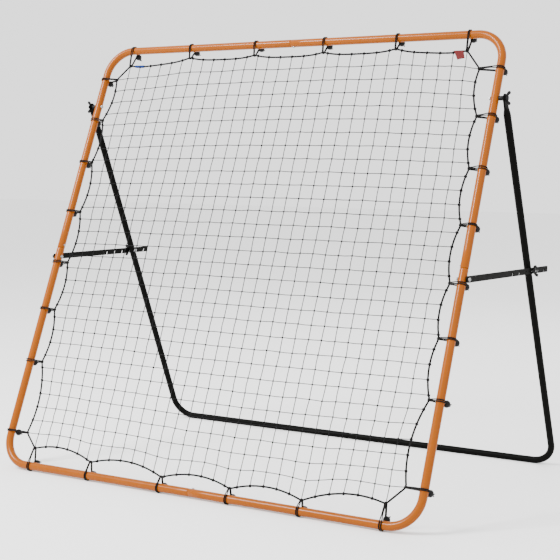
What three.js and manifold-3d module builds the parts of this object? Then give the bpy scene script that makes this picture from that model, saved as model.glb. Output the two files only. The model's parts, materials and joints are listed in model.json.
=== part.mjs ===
// Pitch back rebounder: a square steel frame with an elastic-hung net, held up by a folding rear stand.
// Millimetres, +Z up. Someone facing the net looks along +Y and has +X on the right.
// The frame is built upright in its own group, with x across, y back from the net and z up the frame,
// and that group leans back. The stand is built in a group that hangs from the stand's two pivots.
import * as THREE from "three";
import { mergeVertices } from "three/addons/utils/BufferGeometryUtils.js";
import Module from "manifold-3d";

const wasm = await Module();
wasm.setup();

// Driving dimensions
const GAP = 0.3;
const WALL = 1.2;
const FRAME_SPAN = 1475;
const FRAME_RADIUS = 12.5;
const FRAME_BEND = 90;
const STAND_RADIUS = 11;
const STAND_BEND = 72;
const STAND_X = 768.5;
const LEG_LENGTH = 1286;
const STAND_OPENING = THREE.MathUtils.degToRad(46.45);
const PIVOT_HEIGHT = 1262.5;
const ADJUSTER_DROP = 564;
const BRACE_HEIGHT = 706;
const BRACE_TAIL = 118;
const BRACE_HALF_HEIGHT = 9.5;
const BRACE_THICKNESS = 3;
const BRACE_START_X = 752;
const BRACE_CLEARANCE = 0.7;
const BRACE_PLAY = 1.8;
const NOTCH_PITCH = 47;
const NOTCHES_AHEAD = 3;
const NOTCHES_BEHIND = 2;
const NOTCH_LEAN = THREE.MathUtils.degToRad(27.5);
const BOLT_RADIUS = 3;
const PLUG_LENGTH = 55;
const ELASTIC = 3.6;
const ELASTIC_WIDTH = 7.6;
const BALL_RADIUS = 10.5;
const NET_THICKNESS = 2;
const SCALLOP = { bottom: 0.09, right: 0.09, top: 0.05, left: 0.09 };

// Tubes have this many flat sides, and their bends this many steps.
const TUBE_SIDES = 12;
const BEND_STEPS = 7;

// Where the elastics hook the net's border rope: [place along the tube, depth in from its centreline].
const HOOKS = {
  bottom: [[-623, 57], [-388, 41], [-113, 31], [133, 30], [375, 30], [633, 58]],
  right: [
    [110, 54], [355, 33], [530, 38], [692, 35], [867, 34], [1041, 40], [1206, 46], [1360, 65],
  ],
  top: [[622, 53], [382, 36], [125, 37], [-135, 36], [-395, 35], [-643, 57]],
  left: [
    [1365, 49], [1210, 33], [1052, 35], [870, 41], [687, 45], [520, 43], [340, 49], [103, 66],
  ],
};

// Each elastic's ball, behind the tube: [in from the centreline, back, shift along the tube].
const BALLS = {
  bottom: [[14, 27, 0], [9, 28, 0], [9, 28, 0], [9, 28, 0], [9, 28, 0], [18, 26, -1]],
  right: [
    [-6, 27, -4], [-8, 27, -1], [-3, 28, -2], [-3, 27, 0], [-4, 27, -1], [-3, 27, 0],
    [-3, 27, 1], [-3, 27, 1],
  ],
  top: [[0, 30, 0], [1, 30, 0], [1, 30, 0], [-2, 30, 0], [2, 30, 0], [9, 29, 0]],
  left: [
    [-1, 29, 0], [-8, 28, 1], [-4, 29, 1], [-8, 28, 1], [-10, 28, 0], [-8, 28, 1], [-7, 29, 0],
    [3, 30, 0],
  ],
};

// Dimensions that follow
const HALF_SPAN = FRAME_SPAN / 2;
const LOOP_INNER = FRAME_RADIUS + GAP;
const LOOP_OUTER = LOOP_INNER + ELASTIC;
const FRONT_HEIGHT = LOOP_OUTER;
const RAIL_HEIGHT = STAND_RADIUS * Math.cos(Math.PI / TUBE_SIDES);
const HOLE_RADIUS = BOLT_RADIUS + 2 * GAP;

// The rear rail and the adjuster bolt, as [back from the frame, up the frame].
const RAIL_PLACE = [
  LEG_LENGTH * Math.sin(STAND_OPENING),
  PIVOT_HEIGHT - LEG_LENGTH * Math.cos(STAND_OPENING),
];
const ADJUSTER_PLACE = [
  ADJUSTER_DROP * Math.sin(STAND_OPENING),
  PIVOT_HEIGHT - ADJUSTER_DROP * Math.cos(STAND_OPENING),
];

// The frame leans until its bottom loops and the rear rail both touch the floor.
const FRAME_LEAN =
  Math.atan2(RAIL_PLACE[1], RAIL_PLACE[0]) +
  Math.asin((FRONT_HEIGHT - RAIL_HEIGHT) / Math.hypot(...RAIL_PLACE));
const LEG_ANGLE = STAND_OPENING - FRAME_LEAN;

// Each brace runs from inside the leg at its pivot to outside it at the adjuster bolt.
const BRACE_REACH = Math.hypot(ADJUSTER_PLACE[0], ADJUSTER_PLACE[1] - BRACE_HEIGHT);
const BRACE_SLOPE =
  Math.atan2(ADJUSTER_PLACE[1] - BRACE_HEIGHT, ADJUSTER_PLACE[0]) - FRAME_LEAN;
const BRACE_BOLT_X = STAND_X + STAND_RADIUS + BRACE_CLEARANCE;
const BRACE_SPLAY = Math.atan2(BRACE_BOLT_X - BRACE_START_X, BRACE_REACH);
const BRACE_LENGTH = BRACE_REACH / Math.cos(BRACE_SPLAY);

const orange = new THREE.MeshStandardMaterial({ color: 0xe0732a, roughness: 0.35, metalness: 0.1 });
const black = new THREE.MeshStandardMaterial({ color: 0x1b1b19, roughness: 0.45, metalness: 0.1 });
const zinc = new THREE.MeshStandardMaterial({ color: 0xb9bcbe, roughness: 0.35, metalness: 0.9 });
const moulding = new THREE.MeshStandardMaterial({ color: 0x111213, roughness: 0.6, metalness: 0 });
const elastic = new THREE.MeshStandardMaterial({ color: 0x161616, roughness: 0.85, metalness: 0 });
const twine = new THREE.MeshStandardMaterial({ color: 0x232323, roughness: 0.9, metalness: 0 });
const red = new THREE.MeshStandardMaterial({ color: 0xb3261e, roughness: 0.8, metalness: 0 });

// ---- helpers ----

function addPiece(parent, name, geometry, material) {
  const mesh = new THREE.Mesh(geometry, material);
  mesh.name = name;
  parent.add(mesh);
  return mesh;
}

function toSolid(geometry) {
  const bare = geometry.clone();
  bare.deleteAttribute("normal");
  bare.deleteAttribute("uv");
  const merged = mergeVertices(bare, 1e-4);
  return new wasm.Manifold(
    new wasm.Mesh({
      numProp: 3,
      vertProperties: merged.attributes.position.array,
      triVerts: new Uint32Array(merged.index.array),
    }),
  );
}

function toGeometry(solid) {
  const { vertProperties, triVerts } = solid.getMesh();
  const geometry = new THREE.BufferGeometry();
  geometry.setAttribute("position", new THREE.BufferAttribute(vertProperties, 3));
  geometry.setIndex(new THREE.BufferAttribute(triVerts, 1));
  geometry.computeVertexNormals();
  return geometry;
}

function join(first, ...others) {
  return toGeometry(others.reduce((solid, other) => solid.add(toSolid(other)), toSolid(first)));
}

function cut(body, ...cutters) {
  return toGeometry(cutters.reduce((solid, cutter) => solid.subtract(toSolid(cutter)), toSolid(body)));
}

// A round bar along X, y or z, used to cut holes.
function rod(radius, length, axis) {
  const bar = new THREE.CylinderGeometry(radius, radius, length, TUBE_SIDES);
  if (axis === "x") bar.rotateZ(Math.PI / 2);
  if (axis === "z") bar.rotateX(Math.PI / 2);
  return bar;
}

// A turned piece: its profile of [radius, distance along the axis] points, turned to run along +X or -X.
function turned(profile, side) {
  const points = profile.map(([radius, along]) => new THREE.Vector2(radius, along));
  return new THREE.LatheGeometry(points, TUBE_SIDES).rotateZ((-side * Math.PI) / 2);
}

// ---- tubes ----

// A centreline with a station at each end of a straight and at each step of a bend.
class Route extends THREE.Curve {
  constructor(stations) {
    super();
    this.stations = stations;
  }

  getUtoTmapping(u) {
    return u;
  }

  getPoint(t, target = new THREE.Vector3()) {
    const place = t * (this.stations.length - 1);
    const index = Math.min(Math.floor(place), this.stations.length - 2);
    const [from, to] = [this.stations[index].point, this.stations[index + 1].point];
    return target.lerpVectors(from, to, place - index);
  }

  getTangent(t, target = new THREE.Vector3()) {
    const nearest = Math.round(t * (this.stations.length - 1));
    return target.copy(this.stations[nearest].direction);
  }
}

// From start to end round a corner. Each of the two arms can have extra stations, at distances from its
// far end.
function bentRoute(start, corner, end, bend, startExtras, endExtras) {
  const first = corner.clone().sub(start).normalize();
  const second = end.clone().sub(corner).normalize();
  const centre = corner.clone().addScaledVector(first, -bend).addScaledVector(second, bend);
  const stations = [0, ...startExtras].map((distance) => ({
    point: start.clone().addScaledVector(first, distance),
    direction: first,
  }));
  for (let step = 0; step <= BEND_STEPS; step += 1) {
    const turn = ((step / BEND_STEPS) * Math.PI) / 2;
    const point = centre.clone();
    point.addScaledVector(first, bend * Math.sin(turn));
    point.addScaledVector(second, -bend * Math.cos(turn));
    const direction = first.clone().multiplyScalar(Math.cos(turn));
    direction.addScaledVector(second, Math.sin(turn));
    stations.push({ point, direction });
  }
  for (const distance of [...endExtras].sort((a, b) => b - a).concat(0)) {
    stations.push({ point: end.clone().addScaledVector(second, -distance), direction: second });
  }
  return new Route(stations);
}

function tube(route, radius, phase) {
  const section = new THREE.Shape().absarc(0, 0, radius, phase, phase + 2 * Math.PI);
  section.holes.push(new THREE.Path().absarc(0, 0, radius - WALL, phase, phase + 2 * Math.PI, true));
  return new THREE.ExtrudeGeometry(section, {
    steps: route.stations.length - 1,
    extrudePath: route,
    curveSegments: TUBE_SIDES / 2,
  });
}

// Moves the points near one end of a tube: reshape(distance from the end, offset from the centreline).
function reshapeEnd(geometry, end, inward, limit, reshape) {
  const place = geometry.attributes.position;
  const point = new THREE.Vector3();
  for (let i = 0; i < place.count; i += 1) {
    point.fromBufferAttribute(place, i).sub(end);
    const along = point.dot(inward);
    if (along < limit) {
      const offset = point.clone().addScaledVector(inward, -along);
      reshape(along, offset);
      point.copy(offset).addScaledVector(inward, along).add(end);
      place.setXYZ(i, point.x, point.y, point.z);
    }
  }
  return geometry;
}

// The end of a tube that is drawn down to plug into its neighbour.
const NECK = 4;
const PLUG_STATIONS = [PLUG_LENGTH, PLUG_LENGTH + NECK];

function swageEnd(geometry, end, inward, radius) {
  const bore = (radius - WALL) * Math.cos(Math.PI / TUBE_SIDES);
  const ratio = (bore - GAP) / radius;
  return reshapeEnd(geometry, end, inward, PLUG_LENGTH + NECK / 2, (along, offset) => {
    offset.multiplyScalar(ratio);
  });
}

// Tubes meet end to end at seams, each a plain end round a swaged one, held by a screw from inside.
const SEAM_GAP = GAP;
const SCREW_SHANK = 2;
const SCREW_HEAD = 4;
const SCREW_INSET = 10;

function seamScrewHole(radius) {
  return rod(SCREW_SHANK + GAP, 2 * radius, "z").translate(0, 0, radius);
}

// The screw points along -z, with its head on the tube's outside and its tip inside the plug.
function seamScrew(radius) {
  const head = [[0, -2.4], [SCREW_HEAD * 0.7, -2.2], [SCREW_HEAD, 0]];
  const profile = [...head, [SCREW_SHANK, 0], [SCREW_SHANK, 6], [0, 6]];
  return turned(profile, 1).rotateY(Math.PI / 2).translate(0, 0, radius + GAP);
}

// ---- net frame ----

const SIDE_SEAM = HALF_SPAN;

// One quarter of the frame. The upper ones sleeve over the lower ones, and the left ones plug into the
// right ones.
function frameQuarter(side, level) {
  const isTop = level > 0;
  const isLeft = side < 0;
  const height = isTop ? FRAME_SPAN : 0;
  const sideSeam = SIDE_SEAM + (isTop ? SEAM_GAP : PLUG_LENGTH);
  const sideEnd = new THREE.Vector3(side * HALF_SPAN, 0, sideSeam);
  const corner = new THREE.Vector3(side * HALF_SPAN, 0, height);
  const levelEnd = new THREE.Vector3(isLeft ? PLUG_LENGTH : SEAM_GAP, 0, height);
  const route = bentRoute(
    sideEnd, corner, levelEnd, FRAME_BEND, isTop ? [] : PLUG_STATIONS, isLeft ? PLUG_STATIONS : [],
  );
  let geometry = tube(route, FRAME_RADIUS, 0);
  if (!isTop) {
    geometry = swageEnd(geometry, sideEnd, new THREE.Vector3(0, 0, -1), FRAME_RADIUS);
  }
  if (isLeft) {
    geometry = swageEnd(geometry, levelEnd, new THREE.Vector3(-1, 0, 0), FRAME_RADIUS);
  }
  const holes = [
    seamScrewHole(FRAME_RADIUS).rotateY((-side * Math.PI) / 2)
      .translate(side * HALF_SPAN, 0, SIDE_SEAM + SCREW_INSET),
    seamScrewHole(FRAME_RADIUS).rotateY(isTop ? Math.PI : 0).translate(SCREW_INSET, 0, height),
  ];
  const pivotHeight = isTop ? PIVOT_HEIGHT : BRACE_HEIGHT;
  holes.push(
    rod(HOLE_RADIUS, 4 * FRAME_RADIUS, "x").translate(side * HALF_SPAN, 0, pivotHeight),
  );
  return cut(geometry, ...holes);
}

// ---- elastic ball toggles ----

function circlePoints(x, y, radius, count) {
  return Array.from({ length: count }, (_, i) => {
    const angle = (i / count) * 2 * Math.PI;
    return new THREE.Vector2(x + radius * Math.cos(angle), y + radius * Math.sin(angle));
  });
}

// The outline of a band stretched round the given points.
function stretchedRound(points) {
  const sorted = [...points].sort((a, b) => a.x - b.x || a.y - b.y);
  const turn = (o, a, b) => (a.x - o.x) * (b.y - o.y) - (a.y - o.y) * (b.x - o.x);
  const half = (list) => {
    const chain = [];
    for (const point of list) {
      while (chain.length > 1 && turn(chain.at(-2), chain.at(-1), point) <= 0) chain.pop();
      chain.push(point);
    }
    return chain.slice(0, -1);
  };
  return [...half(sorted), ...half(sorted.reverse())];
}

// A doubled elastic as one band round the tube and the rope, closed at the neck of its ball. It is drawn
// across the tube: x is the distance in from the tube's centreline, and y is back.
const NECK_RADIUS = 2;

function toggle(depth, [ballX, ballY, ballZ]) {
  const neck = 1 - (BALL_RADIUS + 1) / Math.hypot(ballX, ballY);
  const around = (growth) =>
    stretchedRound([
      ...circlePoints(0, 0, LOOP_INNER + growth, 16),
      ...circlePoints(neck * ballX, neck * ballY, NECK_RADIUS + growth, 8),
      new THREE.Vector2(depth + 3 + growth, -3 - growth / 2),
      new THREE.Vector2(depth + 3 + growth, 3 + growth / 2),
    ]);
  const band = new THREE.Shape(around(ELASTIC));
  band.holes.push(new THREE.Path(around(0).reverse()));
  const loop = new THREE.ExtrudeGeometry(band, { depth: ELASTIC_WIDTH, bevelEnabled: false });
  loop.translate(0, 0, -ELASTIC_WIDTH / 2);
  const ball = new THREE.SphereGeometry(BALL_RADIUS, 8, 6).rotateX(Math.PI / 2);
  return join(loop, ball.translate(ballX, ballY, ballZ));
}

// How each side of the frame turns a toggle, whether the toggle's z then runs along (1) or against (-1)
// the tube, and where the tube runs.
const SIDES = {
  bottom: { turn: -Math.PI / 2, sense: -1, place: (along) => [along, 0, 0] },
  right: { turn: Math.PI, sense: -1, place: (along) => [HALF_SPAN, 0, along] },
  top: { turn: Math.PI / 2, sense: 1, place: (along) => [along, 0, FRAME_SPAN] },
  left: { turn: 0, sense: 1, place: (along) => [-HALF_SPAN, 0, along] },
};

// The point at a depth in from the centreline of a side's tube.
function inside(side, along, depth) {
  const inward = new THREE.Vector3(depth, 0, 0);
  inward.applyAxisAngle(new THREE.Vector3(0, 1, 0), SIDES[side].turn);
  return new THREE.Vector3(...SIDES[side].place(along)).add(inward);
}

// ---- net ----

// The net's border is the rope's outer edge: it peaks at each hook and sags in between.
const ROPE_HALF = 3;

function netSheet() {
  const peaks = Object.entries(HOOKS).flatMap(([side, hooks]) =>
    hooks.map(([along, depth]) => ({ side, point: inside(side, along, depth - ROPE_HALF) })),
  );
  const outline = new THREE.Shape();
  outline.moveTo(peaks[0].point.x, peaks[0].point.z);
  peaks.forEach((peak, i) => {
    const next = peaks[(i + 1) % peaks.length];
    if (next.side !== peak.side) {
      outline.lineTo(next.point.x, next.point.z);
      return;
    }
    const middle = peak.point.clone().add(next.point).multiplyScalar(0.5);
    const sag = 2 * SCALLOP[peak.side] * peak.point.distanceTo(next.point);
    const inward = inside(peak.side, 0, 1).sub(inside(peak.side, 0, 0));
    middle.addScaledVector(inward, sag);
    outline.quadraticCurveTo(middle.x, middle.z, next.point.x, next.point.z);
  });
  for (const [side, hooks] of Object.entries(HOOKS)) {
    for (const [along, depth] of hooks) {
      outline.holes.push(hookOpening(side, along, depth));
    }
  }
  const sheet = new THREE.ExtrudeGeometry(outline, {
    depth: NET_THICKNESS, bevelEnabled: false, curveSegments: 5,
  });
  return sheet.rotateX(Math.PI / 2).translate(0, NET_THICKNESS / 2, 0);
}

// The mesh opening that an elastic passes through to hook the rope.
function hookOpening(side, along, depth) {
  const [near, far] = [depth + 3 - 2 * GAP, depth + 3 + ELASTIC + 2 * GAP];
  const half = ELASTIC_WIDTH / 2 + 2 * GAP;
  const corners = [[near, -half], [near, half], [far, half], [far, -half]];
  return new THREE.Path(
    corners.map(([inward, across]) => {
      const point = inside(side, along + across, inward);
      return new THREE.Vector2(point.x, point.z);
    }),
  );
}

// A small blank label sewn to the rope near the top right corner.
function netTag() {
  const corners = [[580, 1422], [611, 1422], [620, 1395], [597, 1391]];
  const outline = new THREE.Shape(corners.map(([x, z]) => new THREE.Vector2(x, z)));
  const tag = new THREE.ExtrudeGeometry(outline, { depth: 1, bevelEnabled: false });
  return tag.rotateX(Math.PI / 2).translate(0, -NET_THICKNESS, 0);
}

// ---- stand ----

// One half of the U: a leg with a flattened top, a bent corner and half of the rear rail.
const FLAT_LENGTH = 30;
const FLAT_END = 66;
const FLAT_HALF = 2.5;
const FLAT_WIDENING = 0.3;
const EYE_PAST_PIVOT = 13;

function standHalf(side) {
  const isLeft = side < 0;
  const top = new THREE.Vector3(side * STAND_X, 0, EYE_PAST_PIVOT);
  const corner = new THREE.Vector3(side * STAND_X, 0, -LEG_LENGTH);
  const end = new THREE.Vector3(isLeft ? PLUG_LENGTH : SEAM_GAP, 0, -LEG_LENGTH);
  const plugStations = isLeft ? PLUG_STATIONS : [];
  const flatStations = [8, FLAT_LENGTH, (FLAT_LENGTH + FLAT_END) / 2, FLAT_END];
  const route = bentRoute(top, corner, end, STAND_BEND, flatStations, plugStations);
  const phase = side * (LEG_ANGLE - Math.PI / TUBE_SIDES);
  let geometry = tube(route, STAND_RADIUS, phase);
  reshapeEnd(geometry, top, new THREE.Vector3(0, 0, -1), FLAT_END - 1, (along, offset) => {
    const squeeze = THREE.MathUtils.smoothstep(along, FLAT_LENGTH, FLAT_END);
    const slit = Math.abs(offset.length() - STAND_RADIUS) < 0.01 ? FLAT_HALF : FLAT_HALF - WALL;
    const flat = slit * Math.sign(offset.x) * Math.min(1, Math.abs(offset.x) / (STAND_RADIUS / 2));
    offset.x = THREE.MathUtils.lerp(flat, offset.x, squeeze);
    const widened = offset.y * (1 + FLAT_WIDENING * (1 - squeeze));
    offset.y = along < 1 ? widened * 0.7 : widened;
  });
  if (isLeft) {
    geometry = swageEnd(geometry, end, new THREE.Vector3(-1, 0, 0), STAND_RADIUS);
  }
  return cut(
    geometry,
    rod(BOLT_RADIUS + GAP, 4 * STAND_RADIUS, "x").translate(side * STAND_X, 0, 0),
    rod(BOLT_RADIUS + GAP, 4 * STAND_RADIUS, "x").translate(side * STAND_X, 0, -ADJUSTER_DROP),
    seamScrewHole(STAND_RADIUS).translate(SCREW_INSET, 0, -LEG_LENGTH),
  );
}

// ---- pivots, bolts and nuts ----

const HEAD_HEIGHT = 4;
const WING_HALF = 3;
const NUT_HEIGHT = 9;

// A bolt along X, from the underside of its head at x = 0, outwards.
function bolt(side, length, headRadius) {
  const crown = [[0, -HEAD_HEIGHT], [headRadius * 0.75, -HEAD_HEIGHT]];
  const rim = [[headRadius, -HEAD_HEIGHT / 2], [headRadius, 0]];
  const shank = [[BOLT_RADIUS, 0], [BOLT_RADIUS, length], [0, length]];
  return turned([...crown, ...rim, ...shank], side);
}

function ring(side, inner, outer, height) {
  return turned([[inner, 0], [outer, 0], [outer, height], [inner, height], [inner, 0]], side);
}

// A wing nut on the X axis, with its seat at x = 0 and its wings up and down, flaring outwards.
function wingNut(side) {
  const outline = [
    [5, 1], [10, 2.5], [17, 6.5], [19, 11], [18, 15.5], [13, 16], [9, 10], [5, 8.5],
  ];
  const wing = (hand) => {
    const shape = new THREE.Shape(
      outline.map(([radius, out]) => new THREE.Vector2(side * out, hand * radius)),
    );
    const blade = new THREE.ExtrudeGeometry(shape, { depth: 2 * WING_HALF, bevelEnabled: false });
    return blade.translate(0, 0, -WING_HALF).rotateX(Math.PI / 2);
  };
  return join(ring(side, BOLT_RADIUS + GAP, 7.2, NUT_HEIGHT), wing(1), wing(-1));
}

// ---- adjusting brace ----

// The bar lies along +y from its pivot, and splays outwards. Each notch opens through the bottom edge and
// leans forward, so that the bar lifts off the stand's bolt as the stand starts to fold.
function braceBar(side) {
  const edge = -BRACE_HALF_HEIGHT;
  const half = BOLT_RADIUS + GAP + 0.1;
  const [sin, cos] = [Math.sin(NOTCH_LEAN), Math.cos(NOTCH_LEAN)];
  const [front, rear] = [(-edge + half * sin) / cos, (-edge - half * sin) / cos];
  const outline = new THREE.Shape();
  outline.absarc(0, 0, BRACE_HALF_HEIGHT, Math.PI / 2, (3 * Math.PI) / 2);
  for (let k = -NOTCHES_AHEAD; k <= NOTCHES_BEHIND; k += 1) {
    const seat = BRACE_LENGTH + k * NOTCH_PITCH;
    outline.lineTo(seat - half * cos - front * sin, edge);
    outline.absarc(seat, 0, half, Math.PI - NOTCH_LEAN, -NOTCH_LEAN, true);
    outline.lineTo(seat + half * cos - rear * sin, edge);
  }
  const round = 4;
  const tail = BRACE_LENGTH + BRACE_TAIL - round;
  outline.absarc(tail, edge + round, round, -Math.PI / 2, 0);
  outline.absarc(tail, -edge - round, round, 0, Math.PI / 2);
  outline.holes.push(new THREE.Path().absarc(0, 0, HOLE_RADIUS, 0, 2 * Math.PI, true));
  const bar = new THREE.ExtrudeGeometry(outline, {
    depth: BRACE_THICKNESS, bevelEnabled: false, curveSegments: 6,
  });
  bar.rotateX(Math.PI / 2).rotateZ(Math.PI / 2);
  bar.translate(side > 0 ? 0 : -BRACE_THICKNESS, 0, 0);
  return bar.rotateZ(-side * BRACE_SPLAY).rotateX(BRACE_SLOPE);
}

// ---- assembly ----

const rebounder = new THREE.Group();

const frame = new THREE.Group();
frame.rotation.x = -FRAME_LEAN;
frame.position.z = FRONT_HEIGHT;
rebounder.add(frame);

const stand = new THREE.Group();
const standPivot = new THREE.Vector3(0, 0, PIVOT_HEIGHT).applyEuler(frame.rotation);
stand.position.copy(standPivot.add(frame.position));
stand.rotation.x = LEG_ANGLE;
rebounder.add(stand);

for (const [side, hooks] of Object.entries(HOOKS)) {
  hooks.forEach(([along, depth], i) => {
    const { turn, sense, place } = SIDES[side];
    const [ballIn, ballBack, ballAlong] = BALLS[side][i];
    const shape = toggle(depth, [ballIn, ballBack, sense * ballAlong]);
    const loop = addPiece(frame, `toggle_${side}_${i + 1}`, shape, elastic);
    loop.rotation.y = turn;
    loop.position.set(...place(along));
  });
}

addPiece(frame, "net", netSheet(), twine);
addPiece(frame, "net_tag", netTag(), red);

for (const level of ["top", "bottom"]) {
  const screw = addPiece(frame, `frame_screw_${level}`, seamScrew(FRAME_RADIUS), zinc);
  screw.rotation.y = level === "top" ? Math.PI : 0;
  screw.position.set(SCREW_INSET, 0, level === "top" ? FRAME_SPAN : 0);
}

for (const [name, side] of [["left", -1], ["right", 1]]) {
  addPiece(frame, `frame_top_${name}`, frameQuarter(side, 1), orange);
  addPiece(frame, `frame_bottom_${name}`, frameQuarter(side, -1), orange);
  const screw = addPiece(frame, `frame_screw_${name}`, seamScrew(FRAME_RADIUS), zinc);
  screw.rotation.y = (-side * Math.PI) / 2;
  screw.position.set(side * HALF_SPAN, 0, SIDE_SEAM + SCREW_INSET);

  const innerFace = HALF_SPAN - FRAME_RADIUS - GAP;
  const sleeveStart = HALF_SPAN + FRAME_RADIUS + GAP;
  const flatFace = STAND_X + FLAT_HALF + GAP;
  const sleeveLength = STAND_X - FLAT_HALF - GAP - sleeveStart;
  const pivotBolt = bolt(side, flatFace + NUT_HEIGHT - innerFace + 1, 6);
  addPiece(frame, `pivot_bolt_${name}`, pivotBolt, zinc).position.set(side * innerFace, 0, PIVOT_HEIGHT);
  const sleeveRing = ring(side, HOLE_RADIUS, 7, sleeveLength);
  const sleeve = addPiece(frame, `pivot_spacer_${name}`, sleeveRing, moulding);
  sleeve.position.set(side * sleeveStart, 0, PIVOT_HEIGHT);
  const pivotNut = addPiece(frame, `pivot_wing_nut_${name}`, wingNut(side), moulding);
  pivotNut.position.set(side * flatFace, 0, PIVOT_HEIGHT);
  pivotNut.rotation.x = FRAME_LEAN;

  const braceFace = BRACE_START_X + BRACE_THICKNESS + BRACE_PLAY;
  const braceBolt = bolt(side, braceFace + 5.4 - innerFace, 5.5);
  const bracePivot = addPiece(frame, `brace_pivot_bolt_${name}`, braceBolt, zinc);
  bracePivot.position.set(side * innerFace, 0, BRACE_HEIGHT);
  const nutRing = ring(side, BOLT_RADIUS + GAP, 5.5, 5);
  const braceNut = addPiece(frame, `brace_pivot_nut_${name}`, nutRing, zinc);
  braceNut.position.set(side * braceFace, 0, BRACE_HEIGHT);

  addPiece(stand, `stand_${name}`, standHalf(side), black);
  const headFace = STAND_X - STAND_RADIUS - GAP;
  const nutFace = BRACE_BOLT_X + BRACE_THICKNESS + BRACE_PLAY;
  const adjuster = addPiece(
    stand, `adjuster_bolt_${name}`, bolt(side, nutFace + NUT_HEIGHT - headFace + 1, 5.5), zinc,
  );
  adjuster.position.set(side * headFace, 0, -ADJUSTER_DROP);
  const adjusterNut = addPiece(stand, `adjuster_wing_nut_${name}`, wingNut(side), moulding);
  adjusterNut.position.set(side * nutFace, 0, -ADJUSTER_DROP);
  adjusterNut.rotation.x = -LEG_ANGLE;

  const brace = addPiece(rebounder, `brace_${name}`, braceBar(side), black);
  brace.position.set(side * BRACE_START_X, 0, BRACE_HEIGHT);
  brace.position.applyEuler(frame.rotation).add(frame.position);
}

const railScrew = addPiece(stand, "stand_screw", seamScrew(STAND_RADIUS), zinc);
railScrew.position.set(SCREW_INSET, 0, -LEG_LENGTH);

// The origin is under the middle of the whole object, on the floor.
rebounder.updateMatrixWorld(true);
const extent = new THREE.Box3().setFromObject(rebounder, true);
const middle = extent.getCenter(new THREE.Vector3());
rebounder.position.set(-middle.x, -middle.y, -extent.min.z);

export default rebounder;
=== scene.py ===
"""The looks of a pitch back rebounder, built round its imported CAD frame. Everything is in metres."""

import json
import math

import bmesh
import bpy
import numpy as np
from mathutils import Matrix, Vector
from mathutils.geometry import tessellate_polygon


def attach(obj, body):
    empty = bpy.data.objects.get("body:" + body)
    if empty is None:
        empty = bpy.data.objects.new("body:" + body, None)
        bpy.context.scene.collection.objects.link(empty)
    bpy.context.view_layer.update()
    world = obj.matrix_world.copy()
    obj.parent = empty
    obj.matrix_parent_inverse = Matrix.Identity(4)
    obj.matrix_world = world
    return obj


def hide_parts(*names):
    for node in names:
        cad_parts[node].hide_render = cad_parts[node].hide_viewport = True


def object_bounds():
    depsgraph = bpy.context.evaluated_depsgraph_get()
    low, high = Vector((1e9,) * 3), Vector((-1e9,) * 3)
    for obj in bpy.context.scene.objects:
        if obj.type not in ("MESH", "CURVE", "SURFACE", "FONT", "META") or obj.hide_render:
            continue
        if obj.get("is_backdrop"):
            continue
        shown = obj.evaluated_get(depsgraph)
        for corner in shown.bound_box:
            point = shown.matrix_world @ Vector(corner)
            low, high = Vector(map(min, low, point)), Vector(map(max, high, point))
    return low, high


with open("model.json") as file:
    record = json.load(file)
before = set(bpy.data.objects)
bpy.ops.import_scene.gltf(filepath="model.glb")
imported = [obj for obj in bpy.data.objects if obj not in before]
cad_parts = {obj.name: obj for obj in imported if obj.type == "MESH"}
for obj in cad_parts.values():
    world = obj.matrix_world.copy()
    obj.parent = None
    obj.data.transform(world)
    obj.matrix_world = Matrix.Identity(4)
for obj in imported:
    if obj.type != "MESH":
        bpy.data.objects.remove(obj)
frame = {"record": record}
cad_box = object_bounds()

# ---- sizes that part.mjs also has ----

MM = 0.001
SPAN = 1.475
HALF_SPAN = SPAN / 2
TUBE_R = 0.0125
FRAME_BEND = 0.090
STAND_R = 0.011
STAND_BEND = 0.072
LEG_X = 0.7685
LEG_LENGTH = 1.286
PIVOT_UP = 1.2625
BRACE_UP = 0.706
WALL = 0.0012
PLUG = 0.055
NECK = 0.004
GAP = 0.0003
BALL_R = 0.0105
BRACE_START_X = 0.752
BRACE_BOLT_X = LEG_X + STAND_R + 0.0007
BRACE_THICK = 0.003
BRACE_PLAY = 0.0018
BRACE_HALF = 0.0095
BRACE_TAIL = 0.118
NOTCH_PITCH = 0.047
NOTCH_LEAN = math.radians(27.5)
NOTCH_HALF = 0.0034
SEAM_SCREW = 0.010

# Each side's scallops: the sag as a share of the distance between two hooks, and how square the curve is.
SCALLOP = {"bottom": (0.09, 2), "right": (0.09, 2), "top": (0.045, 3.2), "left": (0.09, 2)}

# Each elastic's place along its tube and how deep it hooks the rope, in millimetres.
HOOKS = {
    "bottom": [(-623, 57), (-388, 41), (-113, 31), (133, 30), (375, 30), (633, 58)],
    "right": [(110, 54), (355, 33), (530, 38), (692, 35), (867, 34), (1041, 40), (1206, 46), (1360, 65)],
    "top": [(622, 53), (382, 36), (125, 37), (-135, 36), (-395, 35), (-643, 57)],
    "left": [(1365, 49), (1210, 33), (1052, 35), (870, 41), (687, 45), (520, 43), (340, 49), (103, 66)],
}
# Each ball's place in from its tube, back from it and along it from its elastic, in millimetres.
BALLS = {
    "bottom": [(14, 27, 0), (9, 28, 0), (9, 28, 0), (9, 28, 0), (9, 28, 0), (18, 26, -1)],
    "right": [(-6, 27, -4), (-8, 27, -1), (-3, 28, -2), (-3, 27, 0)]
    + [(-4, 27, -1), (-3, 27, 0), (-3, 27, 1), (-3, 27, 1)],
    "top": [(0, 30, 0), (1, 30, 0), (1, 30, 0), (-2, 30, 0), (2, 30, 0), (9, 29, 0)],
    "left": [(-1, 29, 0), (-8, 28, 1), (-4, 29, 1), (-8, 28, 1)]
    + [(-10, 28, 0), (-8, 28, 1), (-7, 29, 0), (3, 30, 0)],
}

# ---- where the frame and the stand are ----

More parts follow.
